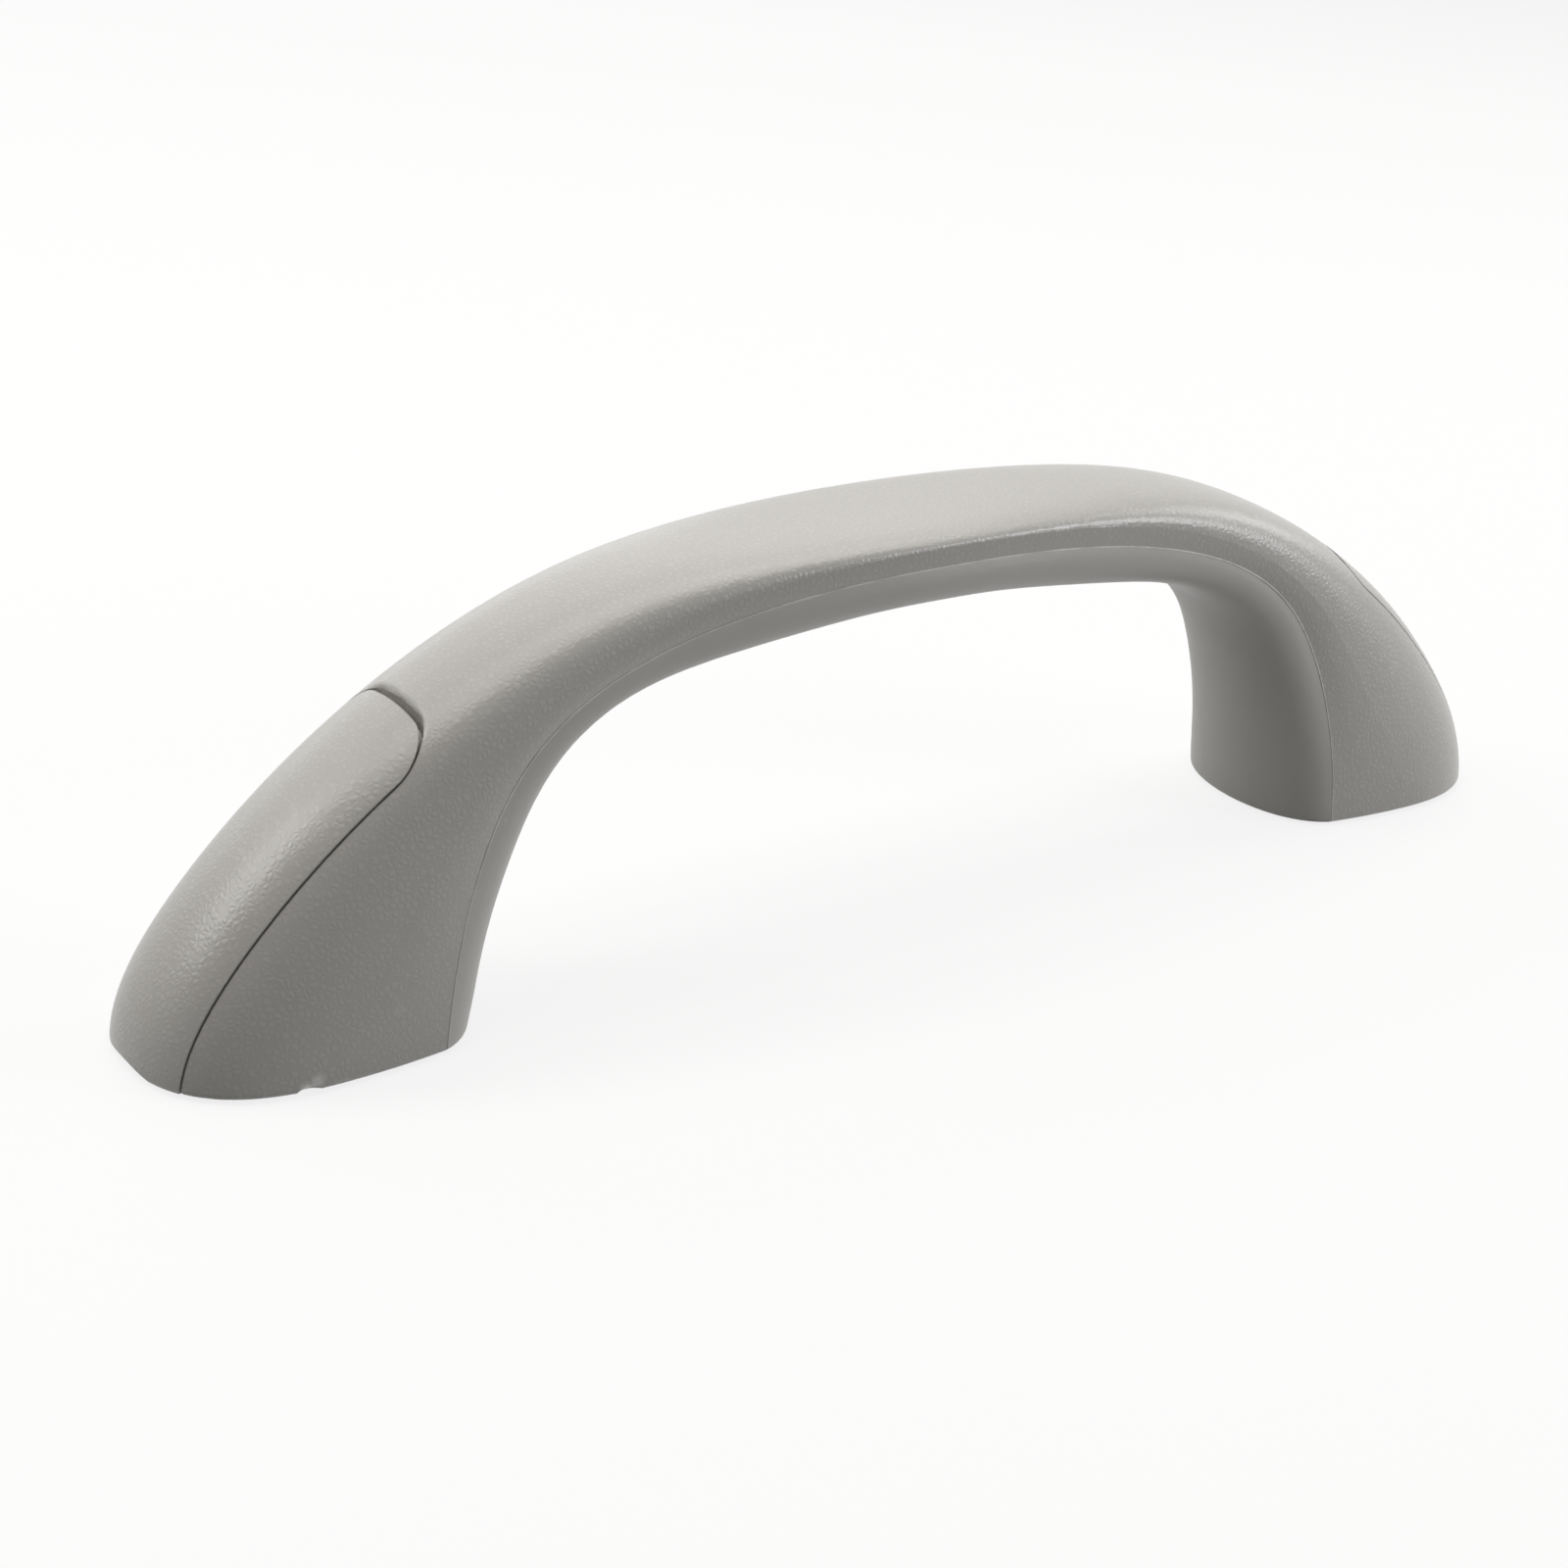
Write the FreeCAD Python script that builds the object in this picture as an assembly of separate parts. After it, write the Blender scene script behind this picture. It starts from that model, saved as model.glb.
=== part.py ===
import FreeCAD, Part
import math
import os

# Roof grab handle: an arched, one-piece moulded handle with a hinged screw cover on each foot.
# Millimetres. X runs along the handle, Y across it and Z away from the roof panel.
# The origin is the middle of the mounting plane, and both feet stand on Z = 0.
# The left foot is at -X. Each piece of the left foot is mirrored to make the right one.

V = FreeCAD.Vector

# Arch seen from the side. A pull is a control point of the smooth curve that it names.
overall_length = 240.0
overall_height = 60.6
grip_depth = 13.5
foot_length = 47.0

# Pulls of the crown line, as shares of the height, and in from the toe
toe_pull_in = 0.4
toe_pull_height_share = 0.155
haunch_pull_in = 15.1
haunch_pull_height_share = 0.463
shoulder_pull_in = 37.5
shoulder_pull_height_share = 0.748
crown_pull_span_share = 0.42

# Pulls of the underside line, as shares of the underside's height, and in from the heel
heel_pull_in = 1.7
heel_pull_height_share = 0.243
throat_pull_in = 10.0
throat_pull_height_share = 0.884
palm_pull_span_share = 0.466
palm_pull_height_share = 0.941
finger_pull_span_share = 0.146

# Cross-section sizes at the foot, the haunch, the shoulder and the grip.
# The crease is the hard line along each side. Its rise from the underside is a share of the depth.
# The side height is how far above the crease the section is widest, as a share of the depth.
half_width_foot = 17.4
half_width_haunch = 16.1
half_width_shoulder = 7.7
half_width_grip = 13.1
crease_rise_foot = 0.183
crease_rise_haunch = 0.226
crease_rise_shoulder = 0.432
crease_rise_grip = 0.612
side_height_foot = 0.375
side_height_haunch = 0.057
side_height_shoulder = 0.157
side_height_grip = 0.235

# How far the crease lies inside the widest point, and how full the section's curves are
crease_inset_foot = 1.4
crease_inset_grip = 0.7
crown_up_foot = 0.64
crown_up_grip = 0.74
crown_over_foot = 0.67
crown_over_grip = 0.67
belly_fullness_foot = 0.73
belly_fullness_grip = 1.34
rim_radius = 0.8

# Screw cover: a shell cut from the same outer form
cover_half_width = 10.3
cover_reach_share = 0.801
cover_corner_radius = 4.7
cover_wall = 2.0
cover_lift = 0.3
side_gap = 0.25
pry_gap = 1.15
recess_corner_radius = 6.1
pry_lip_radius = 1.0
pry_lip_half_width = 7.9
pry_lip_corner_radius = 3.0
seat_gap = 0.15

# Screw well under the cover, and the seat that the screw clamps
screw_in = 20.0
seat_thickness = 5.0
well_half_width = 8.6
well_toe_reach = 13.0
well_end_setback = 2.05
well_corner_radius = 3.0

# Steel bush moulded into the seat
bush_bore_radius = 3.25
bush_sleeve_radius = 5.0
bush_flange_radius = 7.3
bush_flange_thickness = 1.2

# Clip-on hinge at the toe: a bead on the foot and a C-shaped hook on the cover
hinge_in = 1.7
hinge_height = 2.1
bead_radius = 0.9
bead_half_length = 3.5
bead_neck_thickness = 1.0
hook_play = 0.08
hook_wall = 0.77
hook_start_angle = 60.0
hook_end_angle = 250.0
hook_end_gap = 0.3
hook_relief_radius = 2.9
toe_round_radius = 2.05
swing_clearance_radius = 3.2

# Snap catch near the cover's upper end
catch_half_width = 4.5
catch_thickness = 1.5
catch_gap = 1.9
catch_depth = 11.0
catch_bite = 0.5
catch_nose_height = 2.6
catch_window_play = 0.4

# Cores and ribs moulded into the underside of each foot
foot_wall = 2.8
well_wall = 2.2
side_core_depth = 17.0
heel_core_depth = 26.0
rib_thickness = 1.5
side_rib_offset = 7.0
heel_rib_offset = 5.0

# Chip knocked out of the left foot's front rim
chip_in = 17.8
chip_length = 5.0
chip_depth = 0.95

# Fineness of the skin, and how far a cutting body runs past what it cuts
half_section_count = 10
foot_section_count = 7
overrun = 6.0

half_length = overall_length / 2
toe_x = -half_length
heel_x = toe_x + foot_length
underside_height = overall_height - grip_depth
screw_x = toe_x + screw_in
cover_end_x = toe_x + cover_reach_share * foot_length
recess_end_x = cover_end_x + pry_gap
recess_half_width = cover_half_width + side_gap
hinge_x = toe_x + hinge_in
well_end_x = cover_end_x - well_end_setback
core_top = overall_height + overrun


def arch_curve(left_poles):
    """Smooth symmetric curve in the XZ plane from the poles of its left half."""
    right_poles = [(-x, z) for x, z in reversed(left_poles[:-1])]
    poles = [V(x, 0, z) for x, z in left_poles + right_poles]
    span_count = len(poles) - 3
    knots = [index / span_count for index in range(span_count + 1)]
    mults = [4] + [1] * (span_count - 1) + [4]
    curve = Part.BSplineCurve()
    curve.buildFromPolesMultsKnots(poles, mults, knots, False, 3)
    return curve


def outer_curve():
    """Line of the crown, over the top of the arch."""
    return arch_curve([
        (toe_x, 0),
        (toe_x + toe_pull_in, toe_pull_height_share * overall_height),
        (toe_x + haunch_pull_in, haunch_pull_height_share * overall_height),
        (toe_x + shoulder_pull_in, shoulder_pull_height_share * overall_height),
        (crown_pull_span_share * toe_x, overall_height),
        (0, overall_height),
    ])


def inner_curve():
    """Line of the underside, round the space for the fingers."""
    return arch_curve([
        (heel_x, 0),
        (heel_x + heel_pull_in, heel_pull_height_share * underside_height),
        (heel_x + throat_pull_in, throat_pull_height_share * underside_height),
        (palm_pull_span_share * heel_x, palm_pull_height_share * underside_height),
        (finger_pull_span_share * heel_x, underside_height),
        (0, underside_height),
    ])


def rail_points(curve, outward_shift):
    """Evenly spaced points along a curve, moved along its outward normal."""
    count = 2 * half_section_count + 1
    length = curve.length()
    points = []
    for index in range(count):
        parameter = curve.parameterAtDistance(length * index / (count - 1), curve.FirstParameter)
        tangent = curve.tangent(parameter)[0]
        normal = V(-tangent.z, 0, tangent.x)
        points.append(curve.value(parameter) + normal * outward_shift)
    return points


def law(share, foot, haunch, shoulder, grip):
    """Value of a section size at a share of the way from the foot to mid length."""
    rest = 1 - share
    return (foot * rest ** 4 + 4 * haunch * share * rest ** 3 + 6 * shoulder * share ** 2 * rest ** 2
            + 4 * grip * share ** 3 * rest + grip * share ** 4)


def blend(share, foot, grip):
    """Value that runs smoothly from the foot's to the grip's."""
    return law(share, foot, (foot + grip) / 2, grip, grip)


def section_wire(inner_point, outer_point, share, inset):
    """Closed section from the inner line to the outer line, with a hard crease on each side."""
    depth = (outer_point - inner_point).Length
    direction = (outer_point - inner_point) / depth
    half_width = law(share, half_width_foot, half_width_haunch, half_width_shoulder, half_width_grip) - inset
    crease_share = law(share, crease_rise_foot, crease_rise_haunch, crease_rise_shoulder, crease_rise_grip)
    side_share = law(share, side_height_foot, side_height_haunch, side_height_shoulder, side_height_grip)
    crease_half = half_width - blend(share, crease_inset_foot, crease_inset_grip)
    crease = crease_share * depth
    widest = crease + side_share * depth

    def at(y, rise):
        return inner_point + direction * rise + V(0, y, 0)

    def edge(*places):
        curve = Part.BezierCurve()
        curve.setPoles([at(y, rise) for y, rise in places])
        return curve.toShape()

    belly = crease_half * blend(share, belly_fullness_foot, belly_fullness_grip)
    up = widest + blend(share, crown_up_foot, crown_up_grip) * (depth - widest)
    over = half_width * blend(share, crown_over_foot, crown_over_grip)
    middle = (crease + widest) / 2
    return Part.Wire([
        edge((-crease_half, crease), (-belly, -crease / 3), (belly, -crease / 3), (crease_half, crease)),
        edge((crease_half, crease), (half_width, middle), (half_width, widest)),
        edge((half_width, widest), (half_width, up), (over, depth), (0, depth)),
        edge((0, depth), (-over, depth), (-half_width, up), (-half_width, widest)),
        edge((-half_width, widest), (-half_width, middle), (-crease_half, crease)),
    ])


def section_wires(inset):
    """Sections along the whole arch, moved inwards by inset."""
    inner_points = rail_points(inner_curve(), inset)
    outer_points = rail_points(outer_curve(), -inset)
    wires = []
    for index, (inner_point, outer_point) in enumerate(zip(inner_points, outer_points)):
        share = 1 - abs(index / half_section_count - 1)
        wires.append(section_wire(inner_point, outer_point, share, inset))
    return wires


def skin():
    """Solid inside the handle's outer form."""
    return Part.makeLoft(section_wires(0), True, False)


def foot_form(inset):
    """Left foot's outer form moved inwards by inset, and carried on below the base."""
    wires = section_wires(inset)[:foot_section_count]
    tail = Part.Face(wires[0]).extrude(V(0, 0, -overrun))
    return Part.makeLoft(wires, True, False).fuse(tail)


def box(x_low, x_high, y_low, y_high, z_low, z_high):
    """Box between two corners."""
    return Part.makeBox(x_high - x_low, y_high - y_low, z_high - z_low, V(x_low, y_low, z_low))


def strip_prism(x_start, x_end, half_width, radius, z_low, z_high):
    """Upright prism over a strip whose end at x_end has two rounded corners."""
    turn = x_end - radius
    side = half_width - radius
    slant = radius * math.sqrt(0.5)
    corners = [
        Part.LineSegment(V(x_start, -half_width, z_low), V(turn, -half_width, z_low)),
        Part.Arc(V(turn, -half_width, z_low), V(turn + slant, -side - slant, z_low), V(x_end, -side, z_low)),
        Part.LineSegment(V(x_end, -side, z_low), V(x_end, side, z_low)),
        Part.Arc(V(x_end, side, z_low), V(turn + slant, side + slant, z_low), V(turn, half_width, z_low)),
        Part.LineSegment(V(turn, half_width, z_low), V(x_start, half_width, z_low)),
        Part.LineSegment(V(x_start, half_width, z_low), V(x_start, -half_width, z_low)),
    ]
    wire = Part.Wire([corner.toShape() for corner in corners])
    return Part.Face(wire).extrude(V(0, 0, z_high - z_low))


def side_prism(points, half_width):
    """Prism across the handle over an outline given as (x, z) points."""
    wire = Part.makePolygon([V(x, -half_width, z) for x, z in points + points[:1]])
    return Part.Face(wire).extrude(V(0, 2 * half_width, 0))


def hinge_rod(radius, half_width):
    """Cylinder of the given radius on the hinge axis."""
    return Part.makeCylinder(radius, 2 * half_width, V(hinge_x, -half_width, hinge_height), V(0, 1, 0))


def hinge_sector(radius, half_width, start_angle, end_angle):
    """Pie slice on the hinge axis, from one angle to another, measured from +X towards +Z."""
    sector = Part.makeCylinder(radius, 2 * half_width, V(0, 0, 0), V(0, 0, 1), end_angle - start_angle)
    sector.rotate(V(0, 0, 0), V(0, 0, 1), start_angle)
    sector.rotate(V(0, 0, 0), V(1, 0, 0), 90)
    sector.translate(V(hinge_x, half_width, hinge_height))
    return sector


def recess_prism(z_low):
    """Space that the cover closes, seen from above."""
    start = toe_x - overrun
    return strip_prism(start, recess_end_x, recess_half_width, recess_corner_radius, z_low, core_top)


def well_prism(margin, z_low):
    """Screw well under the cover, widened by margin on every side."""
    start = screw_x - well_toe_reach - margin
    end = well_end_x + margin
    return strip_prism(start, end, well_half_width + margin, well_corner_radius + margin, z_low, core_top)


def catch_nose(grow):
    """Nose of the snap catch, or the window that it enters when it is grown."""
    top = catch_height() + grow
    tip_x = well_end_x + catch_bite + grow
    low = top - catch_nose_height - 2 * grow
    root_x = well_end_x - catch_gap
    points = [(root_x, top + catch_gap), (tip_x, top), (tip_x, low + catch_bite), (root_x, low)]
    return side_prism(points, catch_half_width + grow)


def catch_height():
    """Height of the catch's shoulder above the base."""
    return outer_height(well_end_x) - catch_depth


def outer_height(x):
    """Height of the crown line above the base at a place along the handle."""
    probe = Part.makeLine(V(x, 0, -overrun), V(x, 0, core_top))
    return probe.distToShape(outer_curve().toShape())[1][0][0].z


def foot_cores():
    """Hollows moulded up into the left foot from below, with the ribs left standing."""
    form = foot_form(foot_wall)
    well_start = screw_x - well_toe_reach
    side = box(well_start, well_end_x, -half_length, half_length, -1, side_core_depth)
    heel = box(well_end_x + well_wall, -overrun, -half_length, half_length, -1, heel_core_depth)
    for offset in (-side_rib_offset, side_rib_offset):
        rib_x = screw_x + offset
        side = side.cut(box(rib_x - rib_thickness / 2, rib_x + rib_thickness / 2,
                            -half_length, half_length, -1, side_core_depth))
    for offset in (-heel_rib_offset, heel_rib_offset):
        heel = heel.cut(box(well_end_x, 0, offset - rib_thickness / 2, offset + rib_thickness / 2,
                            -1, heel_core_depth))
    side = side.cut(well_prism(well_wall, -1))
    return side.fuse(heel).common(form)


def rim_edges(solid):
    """Edges of the feet's outlines on the mounting plane."""
    return [edge for edge in solid.Edges if edge.BoundBox.ZMax < 0.01]


def lip_prism():
    """Middle of the recess's upper end, whose edge is rounded. It is narrower, so the rounding fades at the corners."""
    start = recess_end_x - recess_corner_radius
    return strip_prism(start, recess_end_x, pry_lip_half_width, pry_lip_corner_radius, 0, core_top)


def lip_edges(body, prism, floor):
    """Edges where the rounded part of the recess meets the outer form."""
    first_x = prism.BoundBox.XMin
    walls = [face for face in prism.Faces
             if face.BoundBox.ZLength > 1 and face.CenterOfMass.x > first_x + 0.01]
    walls = Part.Compound(walls)
    found = []
    for edge in body.Edges:
        spot = edge.valueAt((edge.FirstParameter + edge.LastParameter) / 2)
        if spot.x < first_x or spot.x > recess_end_x + 0.1:
            continue
        vertex = Part.Vertex(spot)
        on_wall = vertex.distToShape(walls)[0] < 0.01
        on_skin = vertex.distToShape(floor)[0] > 0.8 * (cover_wall + seat_gap)
        if on_wall and on_skin:
            found.append(edge)
    return found


def chip():
    """Scallop across the left foot's front rim."""
    wire = section_wire(V(toe_x + foot_length, 0, 0), V(toe_x, 0, 0), 0, 0)
    chip_x = toe_x + chip_in
    probe = Part.makeLine(V(chip_x, 0, 0), V(chip_x, -half_length, 0))
    rim = probe.distToShape(wire)[1][0][0]
    radius = chip_length ** 2 / (8 * chip_depth)
    out = V(0, -1, -1) / math.sqrt(2)
    along = V(0, -1, 1) / math.sqrt(2)
    centre = V(chip_x, rim.y, 0) + out * (radius - chip_depth)
    return Part.makeCylinder(radius, 2 * overrun, centre - along * overrun, along)


def left_foot_tools():
    """Cutting body for everything that is open in the left foot, and the hinge that is added to it."""
    pocket = recess_prism(-1).cut(foot_form(cover_wall + seat_gap))
    pocket = pocket.fuse(well_prism(0, seat_thickness))
    pocket = pocket.fuse(hinge_rod(swing_clearance_radius, recess_half_width))
    pocket = pocket.fuse(catch_nose(catch_window_play))
    pocket = pocket.fuse(foot_cores())
    bush_hole = Part.makeCylinder(bush_sleeve_radius, seat_thickness + 2, V(screw_x, 0, -1))
    pocket = pocket.fuse(bush_hole)
    neck_end = screw_x - well_toe_reach
    neck = box(hinge_x, neck_end, -bead_half_length, bead_half_length,
               hinge_height - bead_neck_thickness / 2, hinge_height + bead_neck_thickness / 2)
    bead = hinge_rod(bead_radius, bead_half_length).fuse(neck)
    return pocket, bead


def mirrored(shape):
    """The same shape for the other foot."""
    return shape.mirror(V(0, 0, 0), V(1, 0, 0))


def make_handle_body():
    """One-piece moulded arch with both feet, their wells, hinge beads, cores and ribs."""
    body = skin()
    body = body.makeFillet(rim_radius, rim_edges(body))
    floor = foot_form(cover_wall + seat_gap)
    prism = lip_prism()
    pry_pocket = prism.cut(floor)
    body = body.cut(pry_pocket)
    body = body.makeFillet(pry_lip_radius, lip_edges(body, prism, floor))
    body = mirrored(body).cut(pry_pocket)
    body = body.makeFillet(pry_lip_radius, lip_edges(body, prism, floor))
    pocket, bead = left_foot_tools()
    for cut, added in ((pocket, bead), (mirrored(pocket), mirrored(bead))):
        body = body.cut(cut)
        body = body.fuse(added)
    return body.cut(chip()).removeSplitter()


def make_left_cover():
    """Curved shell that closes the left well, with its hinge hook and snap catch."""
    shell = skin().cut(foot_form(cover_wall))
    outline = strip_prism(toe_x - overrun, cover_end_x, cover_half_width, cover_corner_radius,
                          cover_lift, core_top)
    cover = shell.common(outline)
    toe = box(toe_x - overrun, hinge_x, -half_length, half_length, -overrun, hinge_height)
    cover = cover.cut(toe.cut(hinge_rod(toe_round_radius, half_length)))
    inner_toe = box(hinge_x, screw_x, -half_length, half_length, -overrun, hinge_height)
    cover = cover.cut(inner_toe.cut(hinge_rod(hook_relief_radius, half_length)))
    notch_half = bead_half_length + hook_end_gap
    cover = cover.cut(hinge_sector(hook_relief_radius, notch_half, hook_end_angle, hook_start_angle + 360))
    ring = hinge_sector(bead_radius + hook_play + hook_wall, notch_half, hook_start_angle, hook_end_angle)
    cover = cover.fuse(ring.common(skin()))
    cover = cover.cut(hinge_rod(bead_radius + hook_play, notch_half))
    tongue_right = well_end_x - catch_gap
    tongue_left = tongue_right - catch_thickness
    low = catch_height() - catch_nose_height
    tongue = box(tongue_left, tongue_right, -catch_half_width, catch_half_width, low, core_top)
    tongue = tongue.common(foot_form(cover_wall / 2))
    return cover.fuse(tongue).fuse(catch_nose(0)).removeSplitter()


def make_left_bush():
    """Flanged steel bush in the screw seat, flush with the mounting plane."""
    sleeve = Part.makeCylinder(bush_sleeve_radius, seat_thickness, V(screw_x, 0, 0))
    flange = Part.makeCylinder(bush_flange_radius, bush_flange_thickness, V(screw_x, 0, seat_thickness))
    height = seat_thickness + bush_flange_thickness
    bore = Part.makeCylinder(bush_bore_radius, height + 2, V(screw_x, 0, -1))
    return sleeve.fuse(flange).cut(bore).removeSplitter()


def main():
    """Build every piece and write one file for each."""
    left_cover = make_left_cover()
    left_bush = make_left_bush()
    pieces = {
        "handle_body": make_handle_body(),
        "left_screw_cover": left_cover,
        "right_screw_cover": mirrored(left_cover),
        "left_screw_bush": left_bush,
        "right_screw_bush": mirrored(left_bush),
    }
    os.makedirs("parts", exist_ok=True)
    for name, shape in pieces.items():
        shape.exportStep("parts/" + name + ".step")
        print(name, "valid", shape.isValid(), "solids", len(shape.Solids), "faces", len(shape.Faces),
              "volume", round(shape.Volume), "box", shape.BoundBox)


main()
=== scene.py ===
"""Looks for the roof grab handle: moulded plastic, steel bushes, studio and camera."""
import logging
import math
from dataclasses import dataclass, field
from enum import Enum

import bpy
from mathutils import Matrix, Vector


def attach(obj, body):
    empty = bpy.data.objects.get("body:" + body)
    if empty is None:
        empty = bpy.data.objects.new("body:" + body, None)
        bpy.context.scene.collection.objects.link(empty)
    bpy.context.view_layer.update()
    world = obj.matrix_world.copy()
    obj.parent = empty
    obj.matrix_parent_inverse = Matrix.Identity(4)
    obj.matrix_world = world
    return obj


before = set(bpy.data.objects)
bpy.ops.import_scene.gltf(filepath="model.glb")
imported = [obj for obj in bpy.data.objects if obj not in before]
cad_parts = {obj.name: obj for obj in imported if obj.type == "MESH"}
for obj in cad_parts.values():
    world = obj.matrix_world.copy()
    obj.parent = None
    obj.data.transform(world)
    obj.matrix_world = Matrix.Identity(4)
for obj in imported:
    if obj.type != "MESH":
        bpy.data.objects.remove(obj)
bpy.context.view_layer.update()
LOG = logging.getLogger("grab_handle")
MM = 0.001
PHOTO_WIDTH = 1600


class Wire:
    """A shader socket that takes part in Python sums, each of which adds a Math node."""

    def __init__(self, graph: "Graph", socket: object) -> None:
        """Keep the graph that the socket belongs to.

        Args:
            graph: the graph that new nodes go into.
            socket: the output socket.
        """
        self.graph = graph
        self.socket = socket

    def _math(self, operation: str, *others: object) -> "Wire":
        """Add a Math node that starts from this socket.

        Args:
            operation: the Math node's operation.
            others: further sockets or numbers.

        Returns:
            The node's result.
        """
        inputs = dict(enumerate((self, *others)))
        return self.graph.node("ShaderNodeMath", {"operation": operation}, inputs)

    def _turned(self, operation: str, other: object) -> "Wire":
        """Add a Math node that starts from the other value.

        Args:
            operation: the Math node's operation.
            other: the first value, a socket or a number.

        Returns:
            The node's result.
        """
        return self.graph.node("ShaderNodeMath", {"operation": operation}, {0: other, 1: self})

    def __add__(self, other: object) -> "Wire":
        """This plus other.

        Args:
            other: a socket or a number.

        Returns:
            The sum.
        """
        return self._math("ADD", other)

    __radd__ = __add__

    def __sub__(self, other: object) -> "Wire":
        """This less other.

        Args:
            other: a socket or a number.

        Returns:
            The difference.
        """
        return self._math("SUBTRACT", other)

    def __rsub__(self, other: object) -> "Wire":
        """Other less this.

        Args:
            other: a socket or a number.

        Returns:
            The difference.
        """
        return self._turned("SUBTRACT", other)

    def __mul__(self, other: object) -> "Wire":
        """This times other.

        Args:
            other: a socket or a number.

        Returns:
            The product.
        """
        return self._math("MULTIPLY", other)

    __rmul__ = __mul__

    def __truediv__(self, other: object) -> "Wire":
        """This over other.

        Args:
            other: a socket or a number.

        Returns:
            The quotient.
        """
        return self._math("DIVIDE", other)

    def __rtruediv__(self, other: object) -> "Wire":
        """Other over this.

        Args:
            other: a socket or a number.

        Returns:
            The quotient.
        """
        return self._turned("DIVIDE", other)

    def __pow__(self, other: object) -> "Wire":
        """This to a power.

        Args:
            other: a socket or a number.

        Returns:
            The power.
        """
        return self._math("POWER", other)

    def __abs__(self) -> "Wire":
        """Size without sign.

        Returns:
            The size.
        """
        return self._math("ABSOLUTE")

    def least(self, other: object) -> "Wire":
        """The smaller of the two.

        Args:
            other: a socket or a number.

        Returns:
            The smaller value.
        """
        return self._math("MINIMUM", other)

    def most(self, other: object) -> "Wire":
        """The larger of the two.

        Args:
            other: a socket or a number.

        Returns:
            The larger value.
        """
        return self._math("MAXIMUM", other)

    def ramp(self, low: float, high: float) -> "Wire":
        """Smooth step from 0 at low to 1 at high.

        Args:
            low: value that gives 0.
            high: value that gives 1.

        Returns:
            The step's value.
        """
        settings = {"interpolation_type": "SMOOTHSTEP"}
        inputs = {0: self, 1: low, 2: high, 3: 0.0, 4: 1.0}
        return self.graph.node("ShaderNodeMapRange", settings, inputs)


class Graph:
    """Node tree of one material or of the world."""

    def __init__(self, tree: object) -> None:
        """Start from an empty tree.

        Args:
            tree: the node tree to fill.
        """
        self.tree = tree
        tree.nodes.clear()

    def node(self, kind: str, settings: dict, inputs: dict, output: object = 0) -> Wire:
        """Add one node.

        Args:
            kind: the node's type name.
            settings: properties, set before the sockets.
            inputs: socket index or name to value or Wire.
            output: index or name of the output to return.

        Returns:
            The chosen output.
        """
        made = self.tree.nodes.new(kind)
        for name, value in settings.items():
            setattr(made, name, value)
        for key, value in inputs.items():
            if isinstance(value, Wire):
                self.tree.links.new(value.socket, made.inputs[key])
            else:
                made.inputs[key].default_value = value
        return Wire(self, made.outputs[output]) if made.outputs else Wire(self, made)

    def place(self) -> Wire:
        """Point on the piece.

        Returns:
            The point in metres, in the piece's own axes.
        """
        return self.node("ShaderNodeTexCoord", {}, {}, "Object")

    def split(self, vector: Wire) -> tuple[Wire, Wire, Wire]:
        """Parts of a vector.

        Args:
            vector: the vector.

        Returns:
            Its X, Y and Z.
        """
        first = self.node("ShaderNodeSeparateXYZ", {}, {0: vector})
        outputs = first.socket.node.outputs
        return tuple(Wire(self, socket) for socket in outputs)

    def mix(self, share: object, low: object, high: object) -> Wire:
        """Blend of two colours.

        Args:
            share: how much of the second.
            low: first colour.
            high: second colour.

        Returns:
            The blended colour.
        """
        settings = {"data_type": "RGBA"}
        return self.node("ShaderNodeMix", settings, {0: share, 6: low, 7: high}, 2)

    def noise(self, place: Wire, size: float, detail: float = 2.0) -> Wire:
        """Soft noise from 0 to 1.

        Args:
            place: the point.
            size: width of a patch in metres.
            detail: number of finer layers.

        Returns:
            The noise value.
        """
        inputs = {"Vector": place, "Scale": 1 / size, "Detail": detail}
        return self.node("ShaderNodeTexNoise", {}, inputs)

    def near(self, place: Wire, spot: tuple[float, float, float]) -> Wire:
        """Distance from a spot.

        Args:
            place: the point.
            spot: the spot in millimetres.

        Returns:
            The distance in metres.
        """
        target = tuple(part * MM for part in spot)
        settings = {"operation": "DISTANCE"}
        return self.node("ShaderNodeVectorMath", settings, {0: place, 1: target}, "Value")

    def bump(self, height: Wire) -> Wire:
        """Normal of a surface that carries fine relief.

        Args:
            height: the relief's height in metres.

        Returns:
            The normal.
        """
        inputs = {"Strength": 1.0, "Distance": 1.0, "Height": height}
        return self.node("ShaderNodeBump", {}, inputs, "Normal")

    def finish(self, inputs: dict) -> None:
        """Add the surface shader and the output.

        Args:
            inputs: the shader's socket names and their values or Wires.
        """
        shader = self.node("ShaderNodeBsdfPrincipled", {}, inputs)
        self.node("ShaderNodeOutputMaterial", {}, {"Surface": shader})


def new_material(name: str) -> tuple[bpy.types.Material, Graph]:
    """Start a material.

    Args:
        name: the material's name.

    Returns:
        The material and its empty graph.
    """
    material = bpy.data.materials.new(name)
    material.use_nodes = True
    return material, Graph(material.node_tree)


class Side(Enum):
    """Which foot a piece belongs to."""

    LEFT = "left"
    RIGHT = "right"


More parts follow.
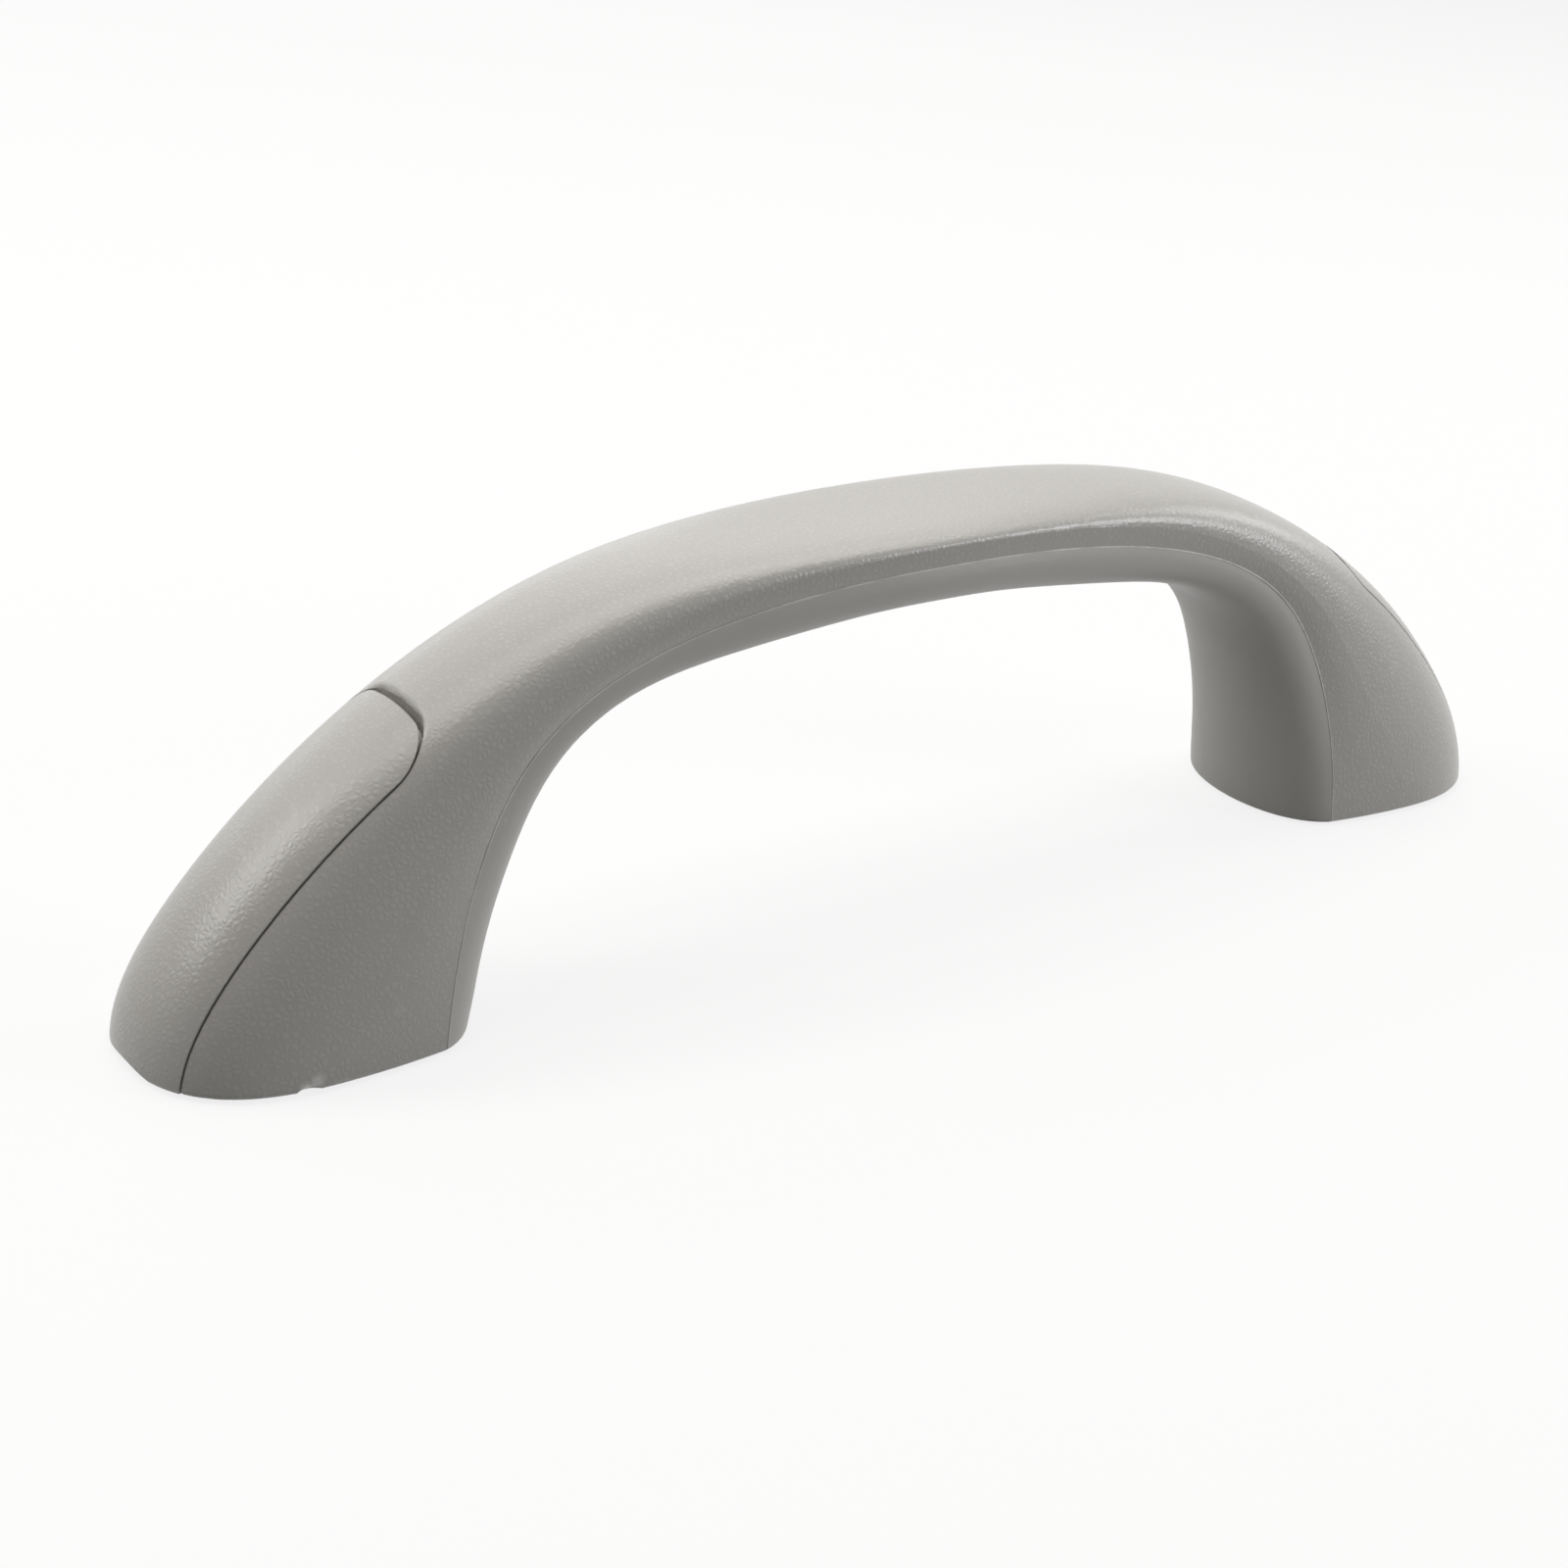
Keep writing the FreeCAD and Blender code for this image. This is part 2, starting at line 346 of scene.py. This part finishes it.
@dataclass
class Arch:
    """Outer form of the handle, in millimetres, drawn as the solids are."""

    half_length: float = 120.0
    height: float = 60.6
    grip_depth: float = 13.5
    foot_length: float = 47.0
    crown_rises: tuple = ((0.4, 0.155), (15.1, 0.463), (37.5, 0.748))
    crown_flat: float = 0.42
    under_rises: tuple = ((1.7, 0.243), (10, 0.884))
    under_bend: tuple = (0.466, 0.941)
    under_flat: float = 0.146
    half_widths: tuple = (17.4, 16.1, 7.7, 13.1)
    crease_shares: tuple = (0.183, 0.226, 0.432, 0.612)
    crease_insets: tuple = (1.4, 0.7)
    cover_reach: float = 37.65
    cover_half_width: float = 10.3
    cover_corner: float = 4.7
    cover_gap: float = 0.25
    samples: int = 400
    trace_steps: int = 2000

    def poles(self, outer: bool) -> list[tuple[float, float]]:
        """Control points of the crown line or the underside line.

        Args:
            outer: True for the crown line.

        Returns:
            The points (x, z) from the left foot to mid length.
        """
        toe = -self.half_length
        heel = toe + self.foot_length
        under = self.height - self.grip_depth
        if outer:
            high = self.height
            rises = [(toe + step, share * high) for step, share in self.crown_rises]
            return [(toe, 0), *rises, (self.crown_flat * toe, high), (0, high)]
        rises = [(heel + step, share * under) for step, share in self.under_rises]
        bend = (self.under_bend[0] * heel, self.under_bend[1] * under)
        return [(heel, 0), *rises, bend, (self.under_flat * heel, under), (0, under)]

    def line(self, outer: bool) -> list[tuple[float, float]]:
        """Points of a profile line at even steps of its length, over its left half.

        Args:
            outer: True for the crown line.

        Returns:
            The points (x, z), samples + 1 of them.
        """
        left = self.poles(outer)
        poles = left + [(-x, z) for x, z in reversed(left[:-1])]
        spans = len(poles) - 3
        knots = [0.0] * 3 + [index / spans for index in range(spans + 1)] + [1.0] * 3
        places = [0.5 * index / self.trace_steps for index in range(self.trace_steps + 1)]
        dense = [self.spline(poles, knots, place) for place in places]
        lengths = [0.0]
        for before, after in zip(dense, dense[1:]):
            lengths.append(lengths[-1] + math.dist(before, after))
        points = []
        index = 0
        for step in range(self.samples + 1):
            wanted = lengths[-1] * step / self.samples
            while index < len(lengths) - 2 and lengths[index + 1] < wanted:
                index += 1
            share = (wanted - lengths[index]) / (lengths[index + 1] - lengths[index])
            before, after = dense[index], dense[index + 1]
            points.append(tuple(a + share * (b - a) for a, b in zip(before, after)))
        return points

    @staticmethod
    def spline(poles: list, knots: list, place: float) -> tuple[float, float]:
        """Point of a cubic B-spline.

        Args:
            poles: control points.
            knots: full knot list.
            place: parameter from 0 to 1.

        Returns:
            The point (x, z).
        """
        span = 3
        while span < len(poles) - 1 and knots[span + 1] <= place:
            span += 1
        work = [list(poles[span - 3 + index]) for index in range(4)]
        for level in range(1, 4):
            for index in range(3, level - 1, -1):
                low = knots[span - 3 + index]
                share = (place - low) / (knots[index + 1 + span - level] - low)
                pairs = zip(work[index - 1], work[index])
                work[index] = [(1 - share) * a + share * b for a, b in pairs]
        return tuple(work[3])

    @staticmethod
    def law(share: float, sizes: tuple) -> float:
        """Section size at a share of the way from the foot to mid length.

        Args:
            share: 0 at the foot's base, 1 at mid length.
            sizes: values at the foot, haunch, shoulder and grip.

        Returns:
            The size there.
        """
        foot, haunch, shoulder, grip = sizes
        rest = 1 - share
        return (foot * rest ** 4 + 4 * haunch * share * rest ** 3
                + 6 * shoulder * share ** 2 * rest ** 2
                + 4 * grip * share ** 3 * rest + grip * share ** 4)

    def crease(self) -> list[Vector]:
        """Line of the crease on the front side, from the left foot to mid length.

        Returns:
            The points in metres, samples + 1 of them.
        """
        points = []
        pairs = zip(self.line(False), self.line(True))
        first, last = self.crease_insets
        for index, (inner, outer) in enumerate(pairs):
            share = index / self.samples
            rise = self.law(share, self.crease_shares)
            inset = self.law(share, (first, (first + last) / 2, last, last))
            half = self.law(share, self.half_widths) - inset
            x = inner[0] + rise * (outer[0] - inner[0])
            z = inner[1] + rise * (outer[1] - inner[1])
            points.append(Vector((x, -half, z)) * MM)
        return points


@dataclass(frozen=True)
class MouldedPlastic:
    """Satin moulded plastic with a fine pebble grain on the crown side."""

    name: str = "satin_grained_plastic"
    colour: tuple = (0.475, 0.46, 0.435, 1.0)
    deep_colour: tuple = (0.41, 0.395, 0.37, 1.0)
    pale_colour: tuple = (0.72, 0.7, 0.67, 1.0)
    # Painted shade: dark colour laid along both edges of the gap round each screw cover.
    painted_gap_shade_colour: tuple = (0.1, 0.095, 0.09, 1.0)
    painted_gap_shade_share: float = 0.3
    roughness: float = 0.31
    grain_size: float = 0.9 * MM
    grain_height: float = 0.026 * MM
    grain_randomness: float = 0.95
    groove_reach: float = 0.4
    groove_share: float = 0.55
    warp_scale: float = 0.6
    warp_reach: float = 0.35
    ripple_size: float = 12 * MM
    ripple_height: float = 0.03 * MM
    cloud_size: float = 22 * MM
    cloud_range: tuple = (0.3, 0.75)
    cloud_share: float = 0.2
    patch_size: float = 6 * MM
    patch_roughness: float = 0.06
    underside_roughness: float = 0.15
    refraction: float = 1.6
    rim_height: tuple = (0.2 * MM, 0.9 * MM)
    rim_patch_size: float = 2.5 * MM
    rim_patch_range: tuple = (0.4, 0.7)
    rim_share: float = 0.5
    mark_core: float = 0.3
    painted_gap_shade_fade: float = 0.22 * MM
    crease_fade: tuple = (-0.1 * MM, 0.5 * MM)
    curve_span: float = 0.1
    curve_stops: int = 16
    marks: tuple = (
        ((-102.8, -17.0, 0.9), 1.2, 0.75),
        ((-101.2, -17.2, 1.5), 1.3, 0.85),
        ((-89.3, -16.7, 8.6), 1.3, 0.12),
        ((-72.5, -12.9, 30.7), 0.3, 0.5),
        ((-83.9, -12.9, 35.2), 0.25, 0.4),
    )

    def build(self, arch: Arch) -> bpy.types.Material:
        """Make the material.

        Args:
            arch: the form, for the line where the grain stops.

        Returns:
            The finished material.
        """
        material, graph = new_material(self.name)
        place = graph.place()
        x, y, z = graph.split(place)
        crown = self.crown_side(graph, abs(x), z, arch)
        pebble = self.pebbles(graph, place)
        ripple = graph.noise(place, self.ripple_size, 1.0)
        height = pebble * crown * self.grain_height + ripple * self.ripple_height
        bump = graph.bump(height)
        cloud = graph.noise(place, self.cloud_size, 3.0).ramp(*self.cloud_range)
        groove = (1 - pebble) * crown
        deep = cloud * self.cloud_share + groove * self.groove_share
        tint = graph.mix(deep, self.colour, self.deep_colour)
        # Painted shade darkens the plastic along the gap round each screw cover.
        tint = graph.mix(self.painted_gap_shade(abs(x), abs(y), arch), tint, self.painted_gap_shade_colour)
        tint = graph.mix(self.scuffs(graph, place, z), tint, self.pale_colour)
        patches = (graph.noise(place, self.patch_size) - 0.5) * self.patch_roughness
        rough = self.roughness + patches + (1 - crown) * self.underside_roughness
        graph.finish({"Base Color": tint, "Roughness": rough, "IOR": self.refraction, "Normal": bump})
        return material

    def pebbles(self, graph: Graph, place: Wire) -> Wire:
        """Fine pebble grain: 1 on a pebble, 0 in the groove round it.

        Args:
            graph: the material's graph.
            place: the point.

        Returns:
            The grain.
        """
        inputs = {"Vector": place, "Scale": self.warp_scale / self.grain_size}
        bent = graph.node("ShaderNodeTexNoise", {}, inputs, "Color")
        settings = {"operation": "MULTIPLY_ADD"}
        inputs = {0: bent, 1: (self.warp_reach * self.grain_size,) * 3, 2: place}
        warped = graph.node("ShaderNodeVectorMath", settings, inputs, "Vector")
        settings = {"feature": "DISTANCE_TO_EDGE"}
        inputs = {"Vector": warped, "Scale": 1 / self.grain_size, "Randomness": self.grain_randomness}
        cells = graph.node("ShaderNodeTexVoronoi", settings, inputs, "Distance")
        return cells.ramp(0.0, self.groove_reach)

    def scuffs(self, graph: Graph, place: Wire, height: Wire) -> Wire:
        """Share of the pale scuffs: a few marks and the rubbed rim of the base.

        Args:
            graph: the material's graph.
            place: the point.
            height: height above the base.

        Returns:
            The mask.
        """
        patchy = graph.noise(place, self.rim_patch_size, 3.0).ramp(*self.rim_patch_range)
        share = (1 - height.ramp(*self.rim_height)) * patchy * self.rim_share
        for spot, radius, strength in self.marks:
            distance = graph.near(place, spot)
            near = 1 - distance.ramp(self.mark_core * radius * MM, radius * MM)
            share = share.most(near * strength)
        return share

    def painted_gap_shade(self, along: Wire, across: Wire, arch: Arch) -> Wire:
        """Share of the painted shade, a dark band on both edges of the gap round a screw cover.

        Args:
            along: distance from mid length.
            across: distance from the middle plane.
            arch: the form, for the cover's outline.

        Returns:
            The mask.
        """
        turn = (arch.half_length - arch.cover_reach + arch.cover_corner) * MM
        side = (arch.cover_half_width - arch.cover_corner) * MM
        end_reach = (turn - along).most(0.0)
        side_reach = (across - side).most(0.0)
        corner_reach = (end_reach * end_reach + side_reach * side_reach) ** 0.5
        outside = corner_reach - arch.cover_corner * MM
        middle = arch.cover_gap * MM / 2
        reach = abs(outside - middle)
        return (1 - reach.ramp(middle, middle + self.painted_gap_shade_fade)) * self.painted_gap_shade_share

    def crown_side(self, graph: Graph, along: Wire, height: Wire, arch: Arch) -> Wire:
        """Share of the grain: 1 above the crease, 0 on the underside.

        Args:
            graph: the material's graph.
            along: distance from mid length.
            height: height above the base.
            arch: the form.

        Returns:
            The mask.
        """
        line = arch.crease()
        curve = graph.node("ShaderNodeFloatCurve", {}, {"Value": along / self.curve_span})
        points = curve.socket.node.mapping.curves[0].points
        picks = line[:: len(line) // self.curve_stops]
        stops = sorted((-p.x / self.curve_span, p.z / self.curve_span) for p in picks)
        points[0].location = stops[0]
        points[1].location = stops[-1]
        for stop in stops[1:-1]:
            points.new(*stop)
        curve.socket.node.mapping.update()
        beyond = along.ramp(-line[0].x, -line[0].x + self.crease_fade[1])
        over = (height - curve * self.curve_span).ramp(*self.crease_fade)
        return beyond.most(over)


@dataclass(frozen=True)
class FlashPlastic:
    """Thin edge of the same plastic, painted paler than the body as a painted highlight for the light
    the bead catches, patchy by noise.
    """

    name: str = "flash_plastic_painted_highlight"
    # Painted highlight: both colours are paler than the body plastic so that the bead reads as a
    # light line.
    colour: tuple = (0.8, 0.78, 0.75, 1.0)
    dull_colour: tuple = (0.6, 0.585, 0.56, 1.0)
    roughness: float = 0.4
    highlight_patch_size: float = 5 * MM
    highlight_patch_range: tuple = (0.35, 0.65)

    def build(self) -> bpy.types.Material:
        """Make the material.

        Returns:
            The finished material.
        """
        material, graph = new_material(self.name)
        # Noise makes the painted highlight patchy along the bead.
        highlight_patches = graph.noise(graph.place(), self.highlight_patch_size, 3.0).ramp(*self.highlight_patch_range)
        tint = graph.mix(highlight_patches, self.dull_colour, self.colour)
        graph.finish({"Base Color": tint, "Roughness": self.roughness})
        return material


@dataclass(frozen=True)
class PlatedSteel:
    """Zinc-plated steel with a slightly uneven plating."""

    name: str = "plated_steel"
    colour: tuple = (0.6, 0.6, 0.61, 1.0)
    roughness: float = 0.28
    patch_size: float = 1.5 * MM
    patch_roughness: float = 0.2
    relief_size: float = 0.3 * MM
    relief_height: float = 0.01 * MM

    def build(self) -> bpy.types.Material:
        """Make the material.

        Returns:
            The finished material.
        """
        material, graph = new_material(self.name)
        place = graph.place()
        rough = self.roughness + graph.noise(place, self.patch_size, 3.0) * self.patch_roughness
        bump = graph.bump(graph.noise(place, self.relief_size) * self.relief_height)
        graph.finish({"Base Color": self.colour, "Metallic": 1.0, "Roughness": rough, "Normal": bump})
        return material


def dress(thing: bpy.types.Object, material: bpy.types.Material) -> None:
    """Put one material on a piece.

    Args:
        thing: the piece.
        material: its finish.
    """
    if thing.material_slots:
        for slot in thing.material_slots:
            slot.link = "OBJECT"
            slot.material = material
    else:
        thing.data.materials.append(material)


@dataclass
class PartingLine:
    """Thin flash left where the two halves of the mould met, along each crease."""

    arch: Arch = field(default_factory=Arch)
    width: float = 0.17 * MM
    foot_width: float = 0.08 * MM
    foot_height: float = 12 * MM
    grip_height: float = 40 * MM
    steps: int = 6
    first_point: int = 2

    def build(self, material: bpy.types.Material) -> list[bpy.types.Object]:
        """Sweep a fine bead along both creases.

        Args:
            material: the beads' finish.

        Returns:
            The two beads.
        """
        half = self.arch.crease()[self.first_point:]
        mirrored = [Vector((-p.x, p.y, p.z)) for p in reversed(half[:-1])]
        line = half + mirrored
        beads = []
        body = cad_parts["handle_body"]
        to_body = body.matrix_world.inverted()
        for name, sign in (("front_parting_line", 1), ("back_parting_line", -1)):
            points = []
            for guess in line:
                guess = to_body @ Vector((guess.x, guess.y * sign, guess.z))
                points.append(body.matrix_world @ body.closest_point_on_mesh(guess)[1])
            bead = self.sweep(name, points)
            dress(bead, material)
            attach(bead, "handle")
            beads.append(bead)
        return beads

    def sweep(self, name: str, points: list[Vector]) -> bpy.types.Object:
        """Mesh tube along points.

        Args:
            name: the piece's name.
            points: the line.

        Returns:
            The new piece.
        """
        vertices = []
        faces = []
        count = self.steps
        for index, point in enumerate(points):
            after = points[min(index + 1, len(points) - 1)]
            before = points[max(index - 1, 0)]
            along = (after - before).normalized()
            across = along.cross(Vector((0, 1, 0))).normalized()
            out = across.cross(along)
            rise = (point.z - self.foot_height) / (self.grip_height - self.foot_height)
            width = self.foot_width + min(max(rise, 0.0), 1.0) * (self.width - self.foot_width)
            for step in range(count):
                angle = math.tau * step / count
                outwards = math.cos(angle) * across + math.sin(angle) * out
                vertices.append(point + width * outwards)
        for index in range(len(points) - 1):
            for step in range(count):
                low = index * count + step
                next_step = index * count + (step + 1) % count
                faces.append((low, next_step, next_step + count, low + count))
        last = (len(points) - 1) * count
        faces.append(tuple(reversed(range(count))))
        faces.append(tuple(range(last, last + count)))
        mesh = bpy.data.meshes.new(name)
        mesh.from_pydata(vertices, [], faces)
        for face in mesh.polygons:
            face.use_smooth = True
        thing = bpy.data.objects.new(name, mesh)
        bpy.context.scene.collection.objects.link(thing)
        return thing


@dataclass
class Studio:
    """Floor, lamps and surroundings."""

    floor_size: float = 6.0
    floor_drop: float = 0.4 * MM
    lamp_target: tuple = (0, 0, 0.03)
    floor_colour: tuple = (0.93, 0.93, 0.925, 1.0)
    bounce_colour: tuple = (0.3, 0.3, 0.3, 1.0)
    glow: float = 0.82
    air_colour: tuple = (0.97, 0.985, 1.0, 1.0)
    air_strength: float = 0.06

    def build(self) -> None:
        """Make the floor, the world and the lamps."""
        self.lay_floor()
        self.fill_world()
        warm, plain, cool = (1.0, 0.985, 0.96), (1.0, 0.99, 0.97), (0.97, 0.985, 1.0)
        self.lamp("top_softbox", (0.0, 0.3, 0.8), (1.2, 0.25), 2.75, warm)
        self.lamp("over_softbox", (0.0, 0.0, 0.85), (1.2, 0.25), 2.55, warm)
        self.lamp("back_softbox", (0.0, 0.65, 0.6), (1.4, 0.3), 1.5, warm)
        self.lamp("left_softbox", (-0.75, 0.45, 0.6), (0.4, 0.4), 2.4, plain)
        self.lamp("right_fill", (0.9, 0.0, 0.45), (0.4, 0.4), 1.4, plain)
        self.lamp("front_fill", (0.7, -0.6, 0.3), (0.4, 0.4), 3.5, cool)
        self.lamp("back_fill", (0.0, 0.9, 0.3), (1.0, 0.4), 1.1, cool)

    def lay_floor(self) -> None:
        """Make the white floor, which still takes the handle's shadow."""
        half = self.floor_size / 2
        mesh = bpy.data.meshes.new("floor")
        corners = [(-half, -half), (half, -half), (half, half), (-half, half)]
        mesh.from_pydata([(x, y, -self.floor_drop) for x, y in corners], [], [(0, 1, 2, 3)])
        floor = bpy.data.objects.new("floor", mesh)
        bpy.context.scene.collection.objects.link(floor)
        material, graph = new_material("pale_floor")
        plain = graph.node("ShaderNodeBsdfDiffuse", {}, {"Color": self.floor_colour})
        dim = graph.node("ShaderNodeBsdfDiffuse", {}, {"Color": self.bounce_colour})
        white = graph.node("ShaderNodeEmission", {}, {"Color": (1, 1, 1, 1), "Strength": 1.0})
        seen = graph.node("ShaderNodeMixShader", {}, {0: self.glow, 1: plain, 2: white})
        surface = graph.node("ShaderNodeMixShader", {}, {0: self.seen_rays(graph), 1: dim, 2: seen})
        graph.node("ShaderNodeOutputMaterial", {}, {"Surface": surface})
        floor.data.materials.append(material)

    def fill_world(self) -> None:
        """Make the surroundings: white where they are seen, dim as a light."""
        world = bpy.data.worlds.new("studio")
        bpy.context.scene.world = world
        world.use_nodes = True
        graph = Graph(world.node_tree)
        inputs = {"Color": self.air_colour, "Strength": self.air_strength}
        air = graph.node("ShaderNodeBackground", {}, inputs)
        inputs = {"Color": (1, 1, 1, 1), "Strength": 1.0}
        backdrop = graph.node("ShaderNodeBackground", {}, inputs)
        sky = graph.node("ShaderNodeMixShader", {}, {0: self.seen_rays(graph), 1: air, 2: backdrop})
        graph.node("ShaderNodeOutputWorld", {}, {"Surface": sky})

    @staticmethod
    def seen_rays(graph: Graph) -> Wire:
        """Share of the rays that see white: camera, glossy and transmission rays.

        Args:
            graph: the graph to add the node to.

        Returns:
            The share, 0 or 1.
        """
        camera = graph.node("ShaderNodeLightPath", {}, {}, "Is Camera Ray")
        outputs = camera.socket.node.outputs
        glossy = Wire(graph, outputs["Is Glossy Ray"])
        clear = Wire(graph, outputs["Is Transmission Ray"])
        return (camera + glossy + clear).least(1.0)

    def lamp(self, name: str, spot: tuple, size: tuple, power: float, colour: tuple) -> None:
        """Add one softbox that faces the handle.

        Args:
            name: the lamp's name.
            spot: its place in metres.
            size: its two sides in metres.
            power: watts.
            colour: light colour.
        """
        data = bpy.data.lights.new(name, "AREA")
        data.shape = "RECTANGLE"
        data.size, data.size_y = size
        data.energy = power
        data.color = colour
        thing = bpy.data.objects.new(name, data)
        thing.location = spot
        aim = Vector(self.lamp_target) - Vector(spot)
        thing.rotation_euler = aim.to_track_quat("-Z", "Y").to_euler()
        bpy.context.scene.collection.objects.link(thing)


@dataclass
class PhotoCamera:
    """Camera at the photograph's place."""

    azimuth: float = -37.41
    elevation: float = 24.38
    roll: float = 5.234
    distance: float = 0.43197
    focal_pixels: float = 3049.0
    target: tuple = (-0.017863, 0.0, 0.019761)
    sensor_width: float = 36.0
    near_clip: float = 0.01

    def build(self) -> bpy.types.Object:
        """Make the camera and use it.

        Returns:
            The camera.
        """
        turn = math.radians(self.azimuth)
        tilt = math.radians(self.elevation)
        roll = math.radians(self.roll)
        flat = math.cos(tilt)
        back = Vector((math.sin(turn) * flat, -math.cos(turn) * flat, math.sin(tilt)))
        right = (-back).cross(Vector((0, 0, 1))).normalized()
        up = right.cross(-back)
        across = right * math.cos(roll) + up * math.sin(roll)
        over = up * math.cos(roll) - right * math.sin(roll)
        data = bpy.data.cameras.new("photo_camera")
        data.sensor_width = self.sensor_width
        data.lens = self.sensor_width * self.focal_pixels / PHOTO_WIDTH
        data.clip_start = self.near_clip
        thing = bpy.data.objects.new("photo_camera", data)
        axes = Matrix((across, over, back)).transposed().to_4x4()
        place = Vector(self.target) + back * self.distance
        thing.matrix_world = Matrix.Translation(place) @ axes
        bpy.context.scene.collection.objects.link(thing)
        bpy.context.scene.camera = thing
        return thing


def main() -> None:
    """Dress the handle, then set up the studio and the camera."""
    logging.basicConfig(level=logging.INFO)
    arch = Arch()
    plastic = MouldedPlastic().build(arch)
    steel = PlatedSteel().build()
    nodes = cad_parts
    dress(nodes["handle_body"], plastic)
    for side in Side:
        dress(nodes[side.value + "_screw_cover"], plastic)
        dress(nodes[side.value + "_screw_bush"], steel)
    for bead in PartingLine(arch).build(FlashPlastic().build()):
        LOG.info("made %s", bead.name)
    Studio().build()
    PhotoCamera().build()
    bpy.context.scene.view_settings.view_transform = "Standard"


if __name__ == "__main__":
    main()
